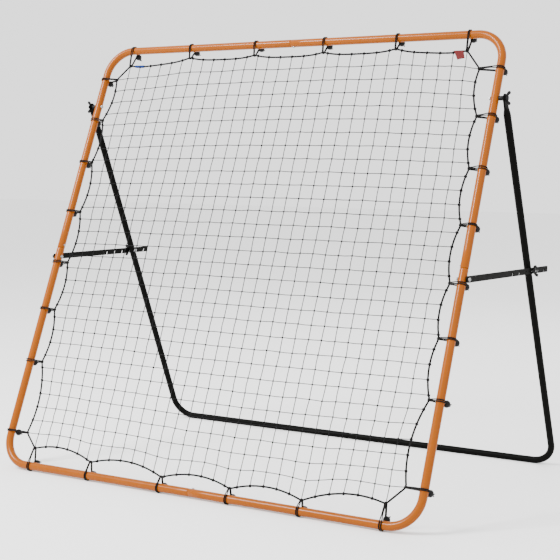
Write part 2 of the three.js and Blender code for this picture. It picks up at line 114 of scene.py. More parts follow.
joints = {j["name"]: j for j in frame["record"]["behaviour"]["joints"]}
pivot = Vector(joints["stand_fold"]["pos_m"])
brace_pivot = Vector(joints["brace_swing_right"]["pos_m"])
brace_pivot.x = 0
UP = (pivot - brace_pivot).normalized()
ACROSS = Vector((1, 0, 0))
BACK = UP.cross(ACROSS)
ORIGIN = pivot - UP * PIVOT_UP
bolt = Vector(joints["adjuster_wing_nut_right_turn"]["pos_m"])
bolt.x = 0
DOWN_LEG = (bolt - pivot).normalized()
LEG_BACK = ACROSS.cross(DOWN_LEG)
BRACE_SPLAY = math.atan2(BRACE_BOLT_X - BRACE_START_X, bolt.y - brace_pivot.y)
BRACE_LENGTH = (bolt.y - brace_pivot.y) / math.cos(BRACE_SPLAY)


def on_frame(x, back, up):
    """A point given across the frame, back from its plane and up along it."""
    return ORIGIN + ACROSS * x + BACK * back + UP * up


def on_stand(x, back, down):
    """A point given across the stand, back from its legs and down along them from the pivot."""
    return pivot + ACROSS * x + LEG_BACK * back + DOWN_LEG * down


# ---- materials ----


def node_material(name, color, roughness, metallic=0.0, specular=0.5):
    """A material, its node tree and its shader, with the values that are the same all over."""
    mat = bpy.data.materials.new(name)
    mat.use_nodes = True
    tree = mat.node_tree
    shader = tree.nodes["Principled BSDF"]
    shader.inputs["Base Color"].default_value = (*color, 1)
    shader.inputs["Roughness"].default_value = roughness
    shader.inputs["Metallic"].default_value = metallic
    shader.inputs["Specular IOR Level"].default_value = specular
    mat.diffuse_color = (*color, 1)
    return mat, tree, shader


def add_node(tree, kind, inputs=None, **settings):
    node = tree.nodes.new(kind)
    for key, value in settings.items():
        setattr(node, key, value)
    for key, value in (inputs or {}).items():
        if isinstance(value, bpy.types.NodeSocket):
            tree.links.new(value, node.inputs[key])
        else:
            node.inputs[key].default_value = value
    return node


def object_noise(tree, scale, detail):
    position = add_node(tree, "ShaderNodeTexCoord").outputs["Object"]
    values = {"Vector": position, "Scale": scale, "Detail": detail}
    return add_node(tree, "ShaderNodeTexNoise", values).outputs["Fac"]


def vary_color(tree, shader, source, color, stops):
    """A colour that moves through the stops, each (source, share of the colour)."""
    ramp = add_node(tree, "ShaderNodeValToRGB", {"Fac": source})
    elements = ramp.color_ramp.elements
    while len(elements) < len(stops):
        elements.new(0.5)
    for element, (position, share) in zip(elements, stops):
        element.position = position
        element.color = (*np.multiply(color, share), 1)
    tree.links.new(ramp.outputs["Color"], shader.inputs["Base Color"])


def vary_roughness(tree, shader, source, low, high):
    values = {"Value": source, "From Min": 0.3, "From Max": 0.7, "To Min": low, "To Max": high}
    spread = add_node(tree, "ShaderNodeMapRange", values)
    tree.links.new(spread.outputs["Result"], shader.inputs["Roughness"])


def add_bump(tree, shader, layers):
    """Stacks bumps: (height source, strength, distance in metres)."""
    normal = None
    for source, strength, distance in layers:
        values = {"Height": source, "Strength": strength, "Distance": distance}
        bump = add_node(tree, "ShaderNodeBump", values)
        if normal is not None:
            tree.links.new(normal, bump.inputs["Normal"])
        normal = bump.outputs["Normal"]
    tree.links.new(normal, shader.inputs["Normal"])


def powder_coat(name, color, roughness, coat, specular):
    """Sprayed and baked powder: a fine orange peel, slightly uneven in colour and gloss."""
    mat, tree, shader = node_material(name, color, roughness, specular=specular)
    vary_color(tree, shader, object_noise(tree, 9, 4), color, [(0.3, 0.93), (0.7, 1.05)])
    vary_roughness(tree, shader, object_noise(tree, 60, 5), roughness - 0.05, roughness + 0.07)
    peel = object_noise(tree, 700, 2)
    dust = object_noise(tree, 2600, 1)
    add_bump(tree, shader, [(peel, 0.2, 0.00006), (dust, 0.08, 0.00002)])
    shader.inputs["Coat Weight"].default_value = coat
    shader.inputs["Coat Roughness"].default_value = 0.16
    return mat


def plated(name, color, roughness):
    """Zinc plate, with faint rub marks and a mottled passivated tint."""
    mat, tree, shader = node_material(name, color, roughness, 1.0)
    mottle = object_noise(tree, 240, 4)
    tint = (1.04, 1, 0.9)
    vary_color(tree, shader, mottle, color, [(0.32, 0.82), (0.55, 1), (0.72, tint)])
    vary_roughness(tree, shader, object_noise(tree, 520, 5), roughness - 0.08, roughness + 0.14)
    add_bump(tree, shader, [(object_noise(tree, 1500, 3), 0.25, 0.00004)])
    return mat


def moulded(name, color, roughness):
    """Injection moulded plastic with a fine spark-eroded grain."""
    mat, tree, shader = node_material(name, color, roughness, specular=0.14)
    vary_color(tree, shader, object_noise(tree, 90, 3), color, [(0.3, 0.8), (0.7, 1.3)])
    vary_roughness(tree, shader, object_noise(tree, 300, 4), roughness - 0.06, roughness + 0.1)
    add_bump(tree, shader, [(object_noise(tree, 2200, 2), 0.35, 0.00006)])
    return mat


def uv_parts(tree):
    """u goes once round a cord, and v is its length in centimetres."""
    uv = add_node(tree, "ShaderNodeUVMap", uv_map="UVMap").outputs["UV"]
    split = add_node(tree, "ShaderNodeSeparateXYZ", {"Vector": uv})
    return split.outputs["X"], split.outputs["Y"]


def calc(tree, operation, first, second=0.0):
    return add_node(tree, "ShaderNodeMath", {0: first, 1: second}, operation=operation).outputs[0]


def half_up(tree, value):
    """From -1..1 to 0..1."""
    return calc(tree, "ADD", calc(tree, "MULTIPLY", value, 0.5), 0.5)


def ridges(tree, u, v, starts, turns):
    along = calc(tree, "MULTIPLY", v, turns)
    around = calc(tree, "MULTIPLY", u, float(starts))
    phase = calc(tree, "MULTIPLY", calc(tree, "ADD", along, around), 2 * math.pi)
    return half_up(tree, calc(tree, "SINE", phase))


def braided(name, color, roughness, starts, turns):
    """A woven sleeve: two sets of ridges that cross. Its colour is darkened in the grooves as painted shade
    and lightened on the ridges as painted highlight.
    """
    mat, tree, shader = node_material(name, color, roughness, specular=0.09)
    u, v = uv_parts(tree)
    one = ridges(tree, u, v, starts, turns)
    other = ridges(tree, u, v, -starts, turns)
    weave_and_shade = calc(tree, "MAXIMUM", one, other)
    # Painted shade and highlight: the colour follows the ridge heights, darker in the grooves and lighter on
    # the tops.
    vary_color(tree, shader, weave_and_shade, color, [(0.35, 0.45), (0.95, 1.5)])
    vary_roughness(tree, shader, object_noise(tree, 400, 3), roughness - 0.06, roughness + 0.08)
    add_bump(tree, shader, [(weave_and_shade, 0.8, 0.0003), (object_noise(tree, 3500, 2), 0.4, 0.00006)])
    shader.inputs["Sheen Weight"].default_value = 0.012
    shader.inputs["Sheen Roughness"].default_value = 0.5
    return mat


def laid(name, color, roughness, starts, turns):
    """Twisted twine or rope: strands that wind one way, with loose fibres. Its colour is darkened between the
    strands as painted shade and lightened on their crowns as painted highlight.
    """
    mat, tree, shader = node_material(name, color, roughness, specular=0.09)
    u, v = uv_parts(tree)
    twist_and_shade = ridges(tree, u, v, starts, turns)
    # Painted shade and highlight: the colour follows the strand heights, darker in the grooves and lighter on
    # the crowns.
    vary_color(tree, shader, twist_and_shade, color, [(0.1, 0.5), (0.8, 1.35)])
    vary_roughness(tree, shader, object_noise(tree, 700, 3), roughness - 0.05, roughness + 0.08)
    add_bump(tree, shader, [(twist_and_shade, 0.8, 0.0002), (object_noise(tree, 4000, 2), 0.5, 0.00005)])
    shader.inputs["Sheen Weight"].default_value = 0.015
    return mat


def woven_tape(name, color):
    """A plain woven label: warp and weft threads about half a millimetre apart, darkened between the threads
    as painted shade and lightened on them as painted highlight.
    """
    mat, tree, shader = node_material(name, color, 0.7, specular=0.15)
    u, v = uv_parts(tree)
    threads = 19.0
    turns = [calc(tree, "MULTIPLY", way, threads * 2 * math.pi) for way in (u, v)]
    warp, weft = (half_up(tree, calc(tree, "SINE", turn)) for turn in turns)
    weave_and_shade = calc(tree, "MAXIMUM", warp, weft)
    # Painted shade and highlight: the colour follows the thread heights, darker between the threads and
    # lighter on their tops.
    vary_color(tree, shader, weave_and_shade, color, [(0.3, 0.6), (0.9, 1.15)])
    add_bump(tree, shader, [(weave_and_shade, 0.7, 0.00015)])
    shader.inputs["Sheen Weight"].default_value = 0.05
    return mat


ORANGE = powder_coat("orange_powder_coat", (0.24, 0.057, 0.0), 0.26, 0.10, 0.09)
BLACK = powder_coat("black_powder_coat", (0.0024, 0.0024, 0.0021), 0.46, 0.0, 0.03)
ZINC = plated("zinc_plate", (0.30, 0.305, 0.31), 0.26)
PLASTIC = moulded("black_nylon", (0.0045, 0.0045, 0.0047), 0.46)
BALL = moulded("black_ball", (0.0040, 0.0040, 0.0042), 0.36)
ELASTIC = braided("braided_elastic", (0.0045, 0.0043, 0.0042), 0.75, 4, 4.2)
ROPE = laid("border_rope", (0.0060, 0.0060, 0.0063), 0.8, 3, 0.9)
TWINE = laid("net_twine", (0.0050, 0.0050, 0.0053), 0.8, 3, 3.2)
BLUE = laid("blue_whipping", (0.012, 0.032, 0.15), 0.7, 2, 1.0)
RED = woven_tape("red_woven_tape", (0.095, 0.0075, 0.0075))

# ---- mesh building ----


def add_to_scene(name, data):
    obj = bpy.data.objects.new(name, data)
    bpy.context.scene.collection.objects.link(obj)
    return obj


class Builder:
    """Collects rings and faces, with the texture coordinates of each corner."""

    def __init__(self):
        self.verts, self.faces, self.uvs, self.slots = [], [], [], []

    def grid(self, points, uv, wrap=True, close_path=False, slot=0):
        """Joins rings of points, points[ring][place]. uv(ring, place) is a corner's texture coordinate."""
        rings, sides = len(points), len(points[0])
        base = len(self.verts)
        for ring in points:
            self.verts.extend(tuple(p) for p in ring)
        for i in range(rings if close_path else rings - 1):
            for j in range(sides if wrap else sides - 1):
                corners = [(i, j), (i, j + 1), (i + 1, j + 1), (i + 1, j)]
                self.faces.append([base + a % rings * sides + b % sides for a, b in corners])
                self.uvs.append([uv(a, b) for a, b in corners])
                self.slots.append(slot)
        return base

    def solid(self, rings, uv, slot=0):
        """Rings joined and closed at both ends."""
        sides = len(rings[0])
        base = self.grid(rings, uv, slot=slot)
        last = base + (len(rings) - 1) * sides
        self.faces += [list(range(base, base + sides)), list(range(last, last + sides))[::-1]]
        self.uvs += [[(j / sides, 0.0) for j in range(sides)]] * 2
        self.slots += [slot] * 2

    def add(self, verts, faces):
        """Puts in plain faces, numbered from 0 in their own points."""
        base = len(self.verts)
        self.verts.extend(tuple(v) for v in verts)
        for face in faces:
            self.faces.append([base + i for i in face])
            self.uvs.append([(0.0, 0.0)] * len(face))
            self.slots.append(0)

    def make(self, name, materials, sharp, body, slot, *nodes):
        """The piece, with edges sharp past an angle, on its body and in place of its CAD nodes."""
        mesh = bpy.data.meshes.new(name)
        mesh.from_pydata(self.verts, [], self.faces)
        layer = mesh.uv_layers.new(name="UVMap")
        flat = [value for corners in self.uvs for corner in corners for value in corner]
        layer.data.foreach_set("uv", flat)
        for material in materials:
            mesh.materials.append(material)
        mesh.polygons.foreach_set("material_index", self.slots)
        bm = bmesh.new()
        bm.from_mesh(mesh)
        bmesh.ops.recalc_face_normals(bm, faces=bm.faces)
        bm.to_mesh(mesh)
        bm.free()
        mesh.shade_smooth()
        mesh.set_sharp_from_angle(angle=math.radians(sharp))
        mesh.update()
        obj = add_to_scene(name, mesh)
        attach(obj, body)
        if nodes:
            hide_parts(*nodes)
        return obj


def blend(value, low, high):
    """From 0 at low to 1 at high, smoothly."""
    t = min(max((value - low) / (high - low), 0), 1)
    return t * t * (3 - 2 * t)


def round_angles(sides):
    return [2 * math.pi * j / sides for j in range(sides)]


def circle(radius, sides, x=0.0, y=0.0):
    return [(x + radius * math.cos(a), y + radius * math.sin(a)) for a in round_angles(sides)]


def sweep(build, path, section, axis=None, closed=False, caps=True):
    """Runs a section along a path. section(i, length) gives the ring's (side, up) offsets. axis is the path's
    plane normal, or None for a path that isn't flat."""
    points = [Vector(p) for p in path]
    count = len(points)
    lengths = [0.0]
    for i in range(1, count):
        lengths.append(lengths[-1] + (points[i] - points[i - 1]).length)
    rings = []
    side = None
    for i, point in enumerate(points):
        before = points[i - 1] if (closed or i > 0) else point
        after = points[(i + 1) % count] if (closed or i < count - 1) else point
        direction = (after - before).normalized()
        if axis is not None:
            up = axis
            side = direction.cross(up).normalized()
        else:
            if side is None:
                side = direction.orthogonal().normalized()
            side = (side - direction * side.dot(direction)).normalized()
            up = side.cross(direction)
        rings.append([point + side * a + up * b for a, b in section(i, lengths[i])])
    sides = len(rings[0])
    lengths.append(lengths[-1] + (points[0] - points[-1]).length)

    def uv(i, j):
        return j / sides, lengths[i] * 100

    if caps and not closed:
        build.solid(rings, uv)
    else:
        build.grid(rings, uv, close_path=closed)


def axis_frame(axis):
    """The axis at length 1, and two directions square to it."""
    axis = axis.normalized()
    first = axis.orthogonal().normalized()
    return axis, first, axis.cross(first)


def spoke(first, second, angle):
    return first * math.cos(angle) + second * math.sin(angle)


def turned_rings(profile, centre, axis, sides, flats=None):
    """(radius, distance) points turned about an axis, and cut to a hexagon of the given size across flats."""
    axis, first, second = axis_frame(axis)
    rings = []
    for radius, along in profile:
        ring = []
        for angle in round_angles(sides):
            r = hex_radius(flats, angle, radius) if flats else radius
            ring.append(centre + axis * along + spoke(first, second, angle) * r)
        rings.append(ring)
    return rings


def hex_radius(flats, angle, radius):
    turn = (angle + math.pi / 6) % (math.pi / 3) - math.pi / 6
    return min(radius, flats / 2 / math.cos(turn))


def lathe(build, profile, centre, axis, sides, flats=None, slot=0):
    """A turned solid, closed at both ends."""
    build.solid(turned_rings(profile, centre, axis, sides, flats), lambda i, j: (j / sides, i * 0.1), slot)


def hollow(build, profile, centre, axis, sides, flats=None):
    """A turned closed profile, which leaves a bore."""
    rings = turned_rings(profile, centre, axis, sides, flats)
    build.grid(rings, lambda i, j: (j / sides, i * 0.1), close_path=True)


# ---- bent tubes ----


class Bent:
    """A straight, a quarter bend and a straight. Places along it are measured from its start."""

    def __init__(self, start, corner, end, bend):
        self.start, self.bend = start, bend
        self.first = (corner - start).normalized()
        self.second = (end - corner).normalized()
        self.arm = (corner - start).length - bend
        self.arc = bend * math.pi / 2
        self.length = self.arm + self.arc + (end - corner).length - bend
        self.centre = corner - self.first * bend + self.second * bend
        self.axis = self.first.cross(self.second).normalized()

    def at(self, s):
        """The point and direction at a place."""
        if s <= self.arm:
            return self.start + self.first * s, self.first
        if s < self.arm + self.arc:
            turn = (s - self.arm) / self.bend
            outward = self.first * math.sin(turn) - self.second * math.cos(turn)
            return self.centre + outward * self.bend, spoke(self.first, self.second, turn)
        rest = s - self.arm - self.arc
        return self.centre + self.first * self.bend + self.second * rest, self.second

    def stations(self):
        """Places that show the bend smoothly, with a few along the straights."""
        steps, straight = 18, 0.06
        after = self.arm + self.arc
        first = list(np.arange(straight, self.arm - straight / 2, straight))
        bend = [self.arm + self.arc * k / steps for k in range(steps + 1)]
        second = list(np.arange(after + straight, self.length - straight / 2, straight))
        return first + bend + second


def rim(radius, inward):
    """An open end as (place, radius) from its bore outwards. inward is +1 at a start and -1 at an end."""
    inner = radius - WALL
    lip = 0.0004
    bore_depth = 0.030
    bore = [(inward * bore_depth, inner), (inward * lip, inner)]
    return bore + [(0, inner + lip), (0, radius - lip), (inward * lip, radius)]


def plug(radius, inward):
    """A drawn-down end, as (place, radius) from its tip outwards."""
    narrow = radius - WALL - GAP
    chamfer = (0.001, 0.0008)
    steps = [0.0, 0.15, 0.4, 0.65, 0.9, 1.0]
    ease = [0.0, 0.04, 0.4, 0.7, 0.97, 1.0]
    neck = [(inward * (PLUG + NECK * s), narrow + (radius - narrow) * e) for s, e in zip(steps, ease)]
    return [(0, narrow - chamfer[0]), (inward * chamfer[1], narrow)] + neck


def tube(route, radius, start, end, shape=None):
    """A bent tube whose profile at each end is a list of (place, radius) from the tip inwards."""
    sides = 40
    clear = 0.002
    last = [(route.length + s, r) for s, r in end][::-1]
    middle = [(s, radius) for s in route.stations() if start[-1][0] + clear < s < last[0][0] - clear]
    build = Builder()
    rings, lengths = [], []
    for s, r in start + middle + last:
        point, direction = route.at(s)
        side = direction.cross(route.axis).normalized()
        ring = []
        for a, b in circle(1.0, sides):
            wide, deep = shape(s, r, a, b) if shape else (r * a, r * b)
            ring.append(point + side * wide + route.axis * deep)
        rings.append(ring)
        lengths.append(s * 100)
    build.solid(rings, lambda i, j: (j / sides, lengths[i]))
    return build


def frame_quarter(side, top):
    """One L of the net's frame, from the middle of its side to the seam at the top or bottom."""
    left = side < 0
    height = SPAN if top else 0.0
    side_end = on_frame(side * HALF_SPAN, 0, HALF_SPAN + (GAP if top else PLUG))
    corner = on_frame(side * HALF_SPAN, 0, height)
    level_end = on_frame(PLUG if left else GAP, 0, height)
    route = Bent(side_end, corner, level_end, FRAME_BEND)
    start = rim(TUBE_R, 1) if top else plug(TUBE_R, 1)
    end = plug(TUBE_R, -1) if left else rim(TUBE_R, -1)
    name = f"{'top' if top else 'bottom'}_{'left' if left else 'right'}"
    build = tube(route, TUBE_R, start, end)
    build.make(f"orange_tube_{name}", [ORANGE], 50, "frame", "orange_coat", f"frame_{name}")


# The leg's top is flat for FLAT_LENGTH and round again at FLAT_END, and its rounded nose is past the pivot.
FLAT_LENGTH = 0.030
FLAT_END = 0.066
FLAT_HALF = 0.0025
FLAT_WIDEN = 1.3
NOSE = 0.011
EYE_PAST = 0.013


def stand_half(side):
    """A leg with a flattened top, a bent corner and half of the rear rail."""
    left = side < 0
    name = "left" if left else "right"
    start_at = on_stand(side * LEG_X, 0, -EYE_PAST)
    corner = on_stand(side * LEG_X, 0, LEG_LENGTH)
    end_at = on_stand(PLUG if left else GAP, 0, LEG_LENGTH)
    route = Bent(start_at, corner, end_at, STAND_BEND)
    end = plug(STAND_R, -1) if left else rim(STAND_R, -1)

    def shape(s, r, a, b):
        """Turns a round section's (a, b) into the flattened one at place s."""
        t = blend(s, FLAT_LENGTH, FLAT_END)
        thin = math.copysign(min(abs(a) * 2.2, 1), a) * FLAT_HALF
        nose = min(s / NOSE, 1.0)
        width = STAND_R * FLAT_WIDEN * math.sqrt(max(1 - (1 - nose) ** 2, 0.02))
        if s < FLAT_LENGTH * 0.2:
            thin *= 0.8
        return (thin * (1 - t) + r * a * t, width * b * (1 - t) + r * b * t)

    places = [0.0, 0.0008, 0.002, 0.004, 0.007, NOSE, 0.02]
    places += [FLAT_LENGTH + (FLAT_END - FLAT_LENGTH) * k / 10 for k in range(11)]
    start = [(s, STAND_R) for s in places]
    build = tube(route, STAND_R, start, end, shape)
    build.make(f"black_leg_{name}", [BLACK], 50, "stand", "black_coat", f"stand_{name}")


for side in (-1, 1):
    frame_quarter(side, True)
    frame_quarter(side, False)
    stand_half(side)

# ---- net ----

# Each side's direction along its tube, direction into the net as (x, up), and its tube's (x, up) at a place.
NET_SIDES = {
    "bottom": (ACROSS, (0, 1), lambda along: (along, 0.0)),
    "right": (UP, (-1, 0), lambda along: (HALF_SPAN, along)),
    "top": (ACROSS, (0, -1), lambda along: (along, SPAN)),
    "left": (UP, (1, 0), lambda along: (-HALF_SPAN, along)),
}
ROPE_R = 0.0030
ROPE_LAY = 0.014
CORD_R = 0.00122
# Lines of cord each way across the net.
LINES = 30


def rope_side(side):
    """The rope's centreline along one side as (x, up), from the first elastic that hooks it to the last."""
    inward, tube_at = np.array(NET_SIDES[side][1]), NET_SIDES[side][2]
    hooks = [np.array(tube_at(along * MM)) + inward * depth * MM for along, depth in HOOKS[side]]
    points = []
    sag, power = SCALLOP[side]
    for a, b in zip(hooks, hooks[1:]):
        deepest = inward * sag * np.linalg.norm(b - a)
        for t in np.linspace(0, 1, 36, endpoint=False):
            points.append(a + (b - a) * t + deepest * (1 - abs(2 * t - 1) ** power))
    points.append(hooks[-1])
    return np.array(points)


def resample(points, count):
    """The given number of evenly spaced points along a line of points."""
    steps = np.linalg.norm(np.diff(points, axis=0), axis=1)
    along = np.concatenate([[0], np.cumsum(steps)])
    wanted = np.linspace(0, 1, count) * along[-1]
    return np.stack([np.interp(wanted, along, points[:, k]) for k in range(points.shape[1])], axis=1)


def relax_net(rounds=1500):
    """Crossing points of the net's lines inside its border, each drawn evenly by its four neighbours."""
    left, right, bottom, top = (border[side] for side in ("left", "right", "bottom", "top"))
    grid = np.zeros((LINES + 2, LINES + 2, 2))
    grid[0, 1:-1], grid[-1, 1:-1] = left, right
    grid[1:-1, 0], grid[1:-1, -1] = bottom, top
    share = (np.arange(LINES) + 0.5) / LINES
    grid[1:-1, 1:-1, 0] = np.outer(bottom[:, 0], 1 - share) + np.outer(top[:, 0], share)
    grid[1:-1, 1:-1, 1] = np.outer(1 - share, left[:, 1]) + np.outer(share, right[:, 1])
    for _ in range(rounds):
        grid[1:-1, 1:-1] = (grid[:-2, 1:-1] + grid[2:, 1:-1] + grid[1:-1, :-2] + grid[1:-1, 2:]) / 4
    return grid


rope_lines = {side: rope_side(side) for side in HOOKS}
# Where the net's lines meet the rope, from left to right or from bottom to top.
border = {}
for side, line in rope_lines.items():
    rising = line if side in ("bottom", "right") else line[::-1]
    border[side] = resample(rising, LINES)
knots = relax_net()

# Knots are tied a little unevenly, and their cords aren't quite straight.
KNOT_UNEVEN = 0.0006
KNOT_DEPTH_UNEVEN = 0.0005
CORD_UNEVEN = 0.00035
KNOT_SIZE = 0.0030
rng = np.random.default_rng(7)
knots[1:-1, 1:-1] += rng.normal(0, KNOT_UNEVEN, (LINES, LINES, 2))
knot_back = np.zeros((LINES + 2, LINES + 2))
knot_back[1:-1, 1:-1] = rng.normal(0, KNOT_DEPTH_UNEVEN, (LINES, LINES))


def net_vector(i, j):
    x, up = knots[i, j]
    return on_frame(x, knot_back[i, j], up)


def net_line(build, cells, over):
    """One cord of the net through its crossing points, passing just in front of or behind the other set."""
    path = []
    for k, (i, j) in enumerate(cells):
        here = net_vector(i, j)
        inner = 0 < k < len(cells) - 1
        path.append(here + BACK * (CORD_R * 0.75 * over * inner))
        if k < len(cells) - 1:
            after = net_vector(*cells[k + 1])
            wobble = Vector(rng.normal(0, CORD_UNEVEN, 3))
            path.append((here + after) / 2 + wobble)
    sweep(build, path, lambda i, s: circle(CORD_R, 6), caps=False)


def knot_blob(build, centre, turn):
    """A pulled-tight sheet bend: two short fat loops that cross."""
    radii = [CORD_R * 1.35 * share for share in (0.35, 1.0, 1.0, 0.35)]
    for angle, tilt in ((turn, 0.5), (turn + math.pi / 2, -0.5)):
        direction = spoke(ACROSS, UP, angle)
        lift = BACK * (tilt * KNOT_SIZE * 0.45)
        ring = [centre - direction * KNOT_SIZE, centre - direction * KNOT_SIZE * 0.6 + lift]
        ring += [centre + direction * KNOT_SIZE * 0.6 + lift, centre + direction * KNOT_SIZE]
        sweep(build, ring, lambda i, s: circle(radii[i], 6))


net_build = Builder()
for i in range(1, LINES + 1):
    net_line(net_build, [(i, j) for j in range(LINES + 2)], 1)
    net_line(net_build, [(j, i) for j in range(LINES + 2)], -1)
for i in range(1, LINES + 1):
    for j in range(1, LINES + 1):
        knot_blob(net_build, net_vector(i, j), rng.uniform(0.4, 1.2))
net_build.make("net_mesh", [TWINE], 80, "frame", "net_twine", "net")


def rope_section(i, length):
    """The rope's section: strands that turn once every ROPE_LAY metres."""
    strands, sides = 3, 12
    phase = 2 * math.pi * length / ROPE_LAY
    points = []
    for angle in round_angles(sides):
        r = ROPE_R * (0.80 + 0.20 * abs(math.cos(strands * (angle - phase) / 2)))
        points.append((r * math.cos(angle), r * math.sin(angle)))
    return points


def border_rope():
    """The rope all round the net, with its turns at the hooks smoothed."""
    count, rounds = 2000, 6
    whole = np.concatenate(list(rope_lines.values()))
    points = resample(np.vstack([whole, whole[:1]]), count + 1)[:-1]
    for _ in range(rounds):
        points = points * 0.5 + (np.roll(points, 1, axis=0) + np.roll(points, -1, axis=0)) * 0.25
    build = Builder()
    sweep(build, [on_frame(x, 0, up) for x, up in points], rope_section, axis=BACK, closed=True)
    build.make("net_border_rope", [ROPE], 80, "frame", "net_twine")


def rope_hitch(build, index, side_points):
    """Two turns of net cord round the rope."""
    here = side_points[index]
    before = side_points[max(index - 1, 0)]
    after = side_points[min(index + 1, len(side_points) - 1)]
    tangent = (after - before) / np.linalg.norm(after - before)
    direction = (ACROSS * tangent[0] + UP * tangent[1]).normalized()
    across = direction.cross(BACK)
    centre = on_frame(here[0], 0, here[1])
    turns, steps, width = 2, 24, 0.0042
    path = []
    for k in range(steps + 1):
        angle = 2 * math.pi * turns * k / steps
        slide = direction * ((k / steps - 0.5) * width)
        path.append(centre + slide + spoke(across, BACK, angle) * (ROPE_R + CORD_R * 0.6))
    sweep(build, path, lambda i, s: circle(CORD_R, 5))


border_rope()
hitches = Builder()
for side, points in border.items():
    for index in range(len(points)):
        rope_hitch(hitches, index, points)
hitches.make("net_border_hitches", [TWINE], 80, "frame", "net_twine")

# ---- elastic ball toggles ----

STRAND_R = 0.00165
# The elastic's bend at the ball's neck, and the step between its points.
NECK_R = 0.0024
STRAND_STEP = 0.0020


def hull(points):
    """The outline of a band stretched round points, anticlockwise."""
    ordered = sorted(points)

    def turn(o, a, b):
        return (a[0] - o[0]) * (b[1] - o[1]) - (a[1] - o[1]) * (b[0] - o[0])

    def half(items):
        chain = []
        for p in items:
            while len(chain) > 1 and turn(chain[-2], chain[-1], p) <= 0:
                chain.pop()
            chain.append(p)
        return chain[:-1]

    return half(ordered) + half(ordered[::-1])


def toggle(side, index, along, depth, ball):
    """A doubled elastic round the tube and the net's rope, closed at the neck of its ball."""
    along_axis, (in_x, in_up), tube_at = NET_SIDES[side]
    inward = ACROSS * in_x + UP * in_up
    x, up = tube_at(along * MM)
    centre = on_frame(x, 0, up)
    ball_in, ball_back, ball_along = (value * MM for value in ball)
    neck = 1 - (BALL_R + 0.001) / math.hypot(ball_in, ball_back)
    neck_at = (ball_in * neck, ball_back * neck)
    outline = hull(
        circle(TUBE_R + GAP + STRAND_R, 72)
        + circle(NECK_R, 32, *neck_at)
        + circle(ROPE_R + STRAND_R * 0.9, 32, depth * MM)
    )
    band = np.array(outline + outline[:1])
    count = int(np.linalg.norm(np.diff(band, axis=0), axis=1).sum() / STRAND_STEP)
    points = resample(band, count)[:-1]
    build = Builder()
    # How far apart its two strands lie on the tube, how far they have slipped, and how far its neck leans.
    spread = rng.uniform(0.0003, 0.0020)
    slip = rng.uniform(-0.0012, 0.0012)
    lean = ball_along * 0.8
    for hand in (-1, 1):
        path = []
        for a, b in points:
            on_tube = 1 - blend(abs(math.hypot(a, b) - TUBE_R), 0.002, 0.016)
            at_neck = 1 - blend(math.hypot(a - neck_at[0], b - neck_at[1]), 0.002, 0.022)
            shift = hand * (STRAND_R * 1.04 + spread * on_tube * (1 - at_neck))
            shift += slip * on_tube + lean * at_neck
            path.append(centre + inward * a + BACK * b + along_axis * shift)
        sweep(build, path, lambda i, s: circle(STRAND_R, 10), closed=True)
    ball_centre = centre + inward * ball_in + BACK * ball_back + along_axis * ball_along
    neck_centre = centre + inward * neck_at[0] + BACK * neck_at[1] + along_axis * lean
    outward = (ball_centre - neck_centre).normalized()
    ball_shape(build, ball_centre, -outward)
    ball_knot(build, ball_centre, outward, along_axis)
    name = f"toggle_{side}_{index}"
    build.make(f"ball_{name}", [ELASTIC, BALL], 40, "frame", "elastic", name)


def ball_knot(build, ball_centre, outward, across):
    """The elastic's two ends, knotted behind the ball so that they can't pull through."""
    first = (across - outward * across.dot(outward)).normalized()
    second = outward.cross(first)
    turns, steps = 1.75, 42
    path = []
    for k in range(steps + 1):
        angle = 2 * math.pi * turns * k / steps
        rise = BALL_R + 0.0008 + 0.0030 * k / steps
        radius = 0.0021 + 0.0004 * math.sin(angle * 1.5)
        path.append(ball_centre + outward * rise + spoke(first, second, angle) * radius)
    sweep(build, path, lambda i, s: circle(STRAND_R, 8))
    for hand in (-1, 1):
        lean = (first * hand * 0.7 + second * rng.uniform(-0.5, 0.5) + outward * 0.9).normalized()
        base = ball_centre + outward * (BALL_R + 0.0022)
        tail = [base, base + lean * 0.0025, base + lean * rng.uniform(0.0055, 0.0070)]
        sweep(build, tail, lambda i, s: circle(STRAND_R * 0.95, 8))


def ball_shape(build, centre, axis):
    """A moulded ball with a parting ridge, a rounded cord hole at the front and a knot socket behind."""
    hole = 0.0036
    ridge = 0.00022
    steps = 22
    first = math.asin(hole / BALL_R)
    profile = [(0.0022, -BALL_R + 0.0045), (0.0029, -BALL_R + 0.0016)]
    for k in range(steps + 1):
        angle = first + (math.pi - 2 * first) * k / steps
        radius = BALL_R + (ridge if k == steps // 2 else 0.0)
        profile.append((radius * math.sin(angle), -radius * math.cos(angle)))
    profile += [(0.0031, BALL_R - 0.0014), (0.0026, BALL_R - 0.004)]
    lathe(build, profile, centre, axis, 28, slot=1)


for side, hooks in HOOKS.items():
    for index, ((along, depth), ball) in enumerate(zip(hooks, BALLS[side]), 1):
        toggle(side, index, along, depth, ball)

# ---- bolts, nuts and screws ----

# Sizes of the 6 mm fasteners: the hexagons are across flats.
BOLT_R = 0.0030
BORE_R = 0.0033
PIVOT_FLATS = 0.0100
BRACE_FLATS = 0.0095
HEAD_HEIGHT = 0.0036
WASHER = 0.0004
NUT_HEIGHT = 0.0050
THREAD_PITCH = 0.0010
THREAD_DEPTH = 0.00035
SLEEVE_BORE = 0.0036
SLEEVE_R = 0.0069
SLEEVE_EDGE = 0.0008


def hex_profile(flats, start, height, inner):
    """A chamfered hexagon's rings, to be cut to flats by turned_rings."""
    corner = flats / 2 / math.cos(math.pi / 6)
    chamfer = 0.0007
    face = [(flats / 2 * 0.97, 0), (flats / 2 * 1.06, chamfer * 0.45), (corner, chamfer)]
    near = [(inner, start)] + [(r, start + along) for r, along in face]
    far = [(r, start + height - along) for r, along in face[::-1]]
    return near + far + [(inner, start + height)]


